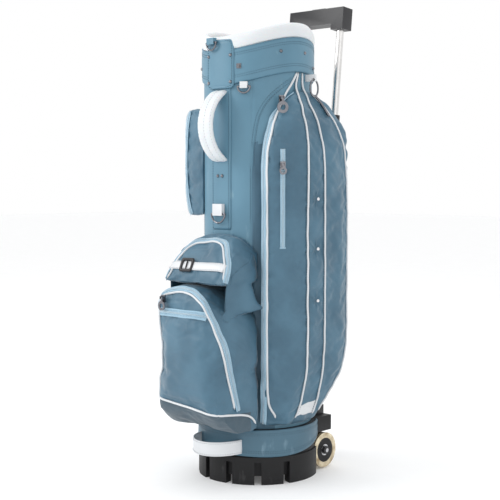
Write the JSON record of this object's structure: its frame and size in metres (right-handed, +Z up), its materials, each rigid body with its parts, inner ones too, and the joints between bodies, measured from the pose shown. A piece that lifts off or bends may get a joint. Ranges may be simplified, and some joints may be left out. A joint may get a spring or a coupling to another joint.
{
  "type": "golf bag with pull handle and wheels",
  "caption": "Upright round golf bag with a divided padded cuff, zipped side and front pockets, carry handle, moulded wheeled base and a telescopic pull handle.",
  "frame": {"origin": "centre of the whole object's footprint, on the floor under the bag's round body", "axes": "+Z up, +Y towards the pull handle and wheels, -Y towards the ball pocket, +X towards the tall side pocket"},
  "size_m": [0.3035, 0.4212, 0.9213],
  "materials": {
    "smooth_leather": "satin coated leather, fine grain",
    "nylon": "satin woven nylon, lightly puckered",
    "white_trim": "white coated leather, stitched",
    "white_padding": "white padded leather",
    "blue_tab": "satin coated leather",
    "base_plastic": "moulded, fine texture",
    "moulded_plastic": "moulded, satin",
    "button_plastic": "satin",
    "divider_fleece": "brushed fleece",
    "anodised_tube": "drawn, anodised",
    "steel": "turned",
    "gunmetal": "dark plated",
    "wheel_urethane": "clear amber urethane over a plated rim"
  },
  "bodies": {
    "bag": {"axle": "steel", "axle_caps": "steel", "ball_pocket": "nylon", "ball_zip_slider": "gunmetal", "base_grab_strap": "white_trim", "base_moulding": "base_plastic", "base_skirt": "smooth_leather", "carry_handle": "white_trim", "cuff_band": "smooth_leather", "cuff_lip": "white_padding", "cuff_patch": "smooth_leather", "cuff_ring": "moulded_plastic", "cuff_ring_small_tab": "white_trim", "cuff_studs": "gunmetal", "divider_grid": "divider_fleece", "garment_zip_slider": "gunmetal", "glove_buckle": "moulded_plastic", "glove_strap": "white_trim", "handle_rivets": "gunmetal", "hood_stud": "gunmetal", "main_tube": "smooth_leather", "outer_tube_left": "anodised_tube", "outer_tube_right": "anodised_tube", "patch_rivets": "gunmetal", "side_pocket_left": "nylon", "side_pocket_right": "nylon", "side_ring_tab": "white_trim", "spine_ring_tab": "white_trim", "spine_strip": "smooth_leather", "stay_rods": "steel", "towel_ring_tab": "blue_tab", "tube_collar_left": "moulded_plastic", "tube_collar_right": "moulded_plastic", "tube_feet": "base_plastic", "tuft_buttons": "gunmetal", "upper_bracket": "moulded_plastic", "upper_pocket": "nylon"},
    "handle": {"grip": "moulded_plastic", "inner_tube_left": "anodised_tube", "inner_tube_right": "anodised_tube"},
    "button": {"release_button": "button_plastic", "release_yoke": "moulded_plastic", "latch_rods": "steel"},
    "wheel_left": {"wheel_tyre_left": "wheel_urethane", "wheel_hub_left": "moulded_plastic", "wheel_bearing_left": "steel"},
    "wheel_right": {"wheel_tyre_right": "wheel_urethane", "wheel_hub_right": "moulded_plastic", "wheel_bearing_right": "steel"},
    "spine_ring": {"spine_ring": "gunmetal"},
    "cuff_ring_small": {"cuff_ring_small": "gunmetal"},
    "towel_ring": {"towel_ring": "gunmetal"},
    "side_ring": {"side_ring": "gunmetal"},
    "garment_pull": {"garment_zip_pull": "gunmetal"},
    "short_slider": {"short_zip_slider": "gunmetal"},
    "short_pull": {"short_zip_pull": "gunmetal"},
    "ball_pull": {"ball_zip_pull": "gunmetal"}
  },
  "joints": [
    {"name": "handle_slide", "type": "slide", "parent": "bag", "child": "handle", "axis": [0, 0.1045, 0.9945], "range_m": [-0.13, 0.26]},
    {"name": "button_press", "type": "slide", "parent": "handle", "child": "button", "axis": [0, -0.1045, -0.9945], "range_m": [0, 0.003], "stiffness_N_per_m": 3000, "springref_m": -0.001},
    {"name": "wheel_left_spin", "type": "hinge", "parent": "bag", "child": "wheel_left", "pos_m": [0, 0.1, 0.0365], "axis": [1, 0, 0], "continuous": true},
    {"name": "wheel_right_spin", "type": "hinge", "parent": "bag", "child": "wheel_right", "pos_m": [0, 0.1, 0.0365], "axis": [1, 0, 0], "continuous": true},
    {"name": "spine_ring_swing", "type": "hinge", "parent": "bag", "child": "spine_ring", "pos_m": [0, -0.1119, 0.508], "axis": [-1, 0, 0], "range_deg": [0, 100]},
    {"name": "cuff_ring_swing", "type": "hinge", "parent": "bag", "child": "cuff_ring_small", "pos_m": [0.05127, -0.09642, 0.744], "axis": [-0.8829, -0.4695, 0], "range_deg": [0, 100]},
    {"name": "towel_ring_swing", "type": "hinge", "parent": "bag", "child": "towel_ring", "pos_m": [-0.01415, -0.11524, 0.827], "axis": [-0.9925, 0.1219, 0], "range_deg": [0, 100]},
    {"name": "side_ring_swing", "type": "hinge", "parent": "bag", "child": "side_ring", "pos_m": [0.11933, 0.02536, 0.76], "axis": [0.2079, -0.9781, 0], "range_deg": [0, 100]},
    {"name": "garment_pull_swing", "type": "hinge", "parent": "bag", "child": "garment_pull", "pos_m": [0.11271, -0.05743, 0.722], "axis": [-0.454, -0.891, 0], "range_deg": [0, 100]},
    {"name": "short_zip_travel", "type": "slide", "parent": "bag", "child": "short_slider", "axis": [0, 0, -1], "range_m": [0, 0.14]},
    {"name": "short_pull_swing", "type": "hinge", "parent": "short_slider", "child": "short_pull", "pos_m": [0.1274, -0.07297, 0.6], "axis": [-0.6046, -0.7965, 0], "range_deg": [0, 100]},
    {"name": "ball_pull_swing", "type": "hinge", "parent": "bag", "child": "ball_pull", "pos_m": [-0.05, -0.211, 0.354], "axis": [-1, 0, 0], "range_deg": [0, 100]}
  ]
}
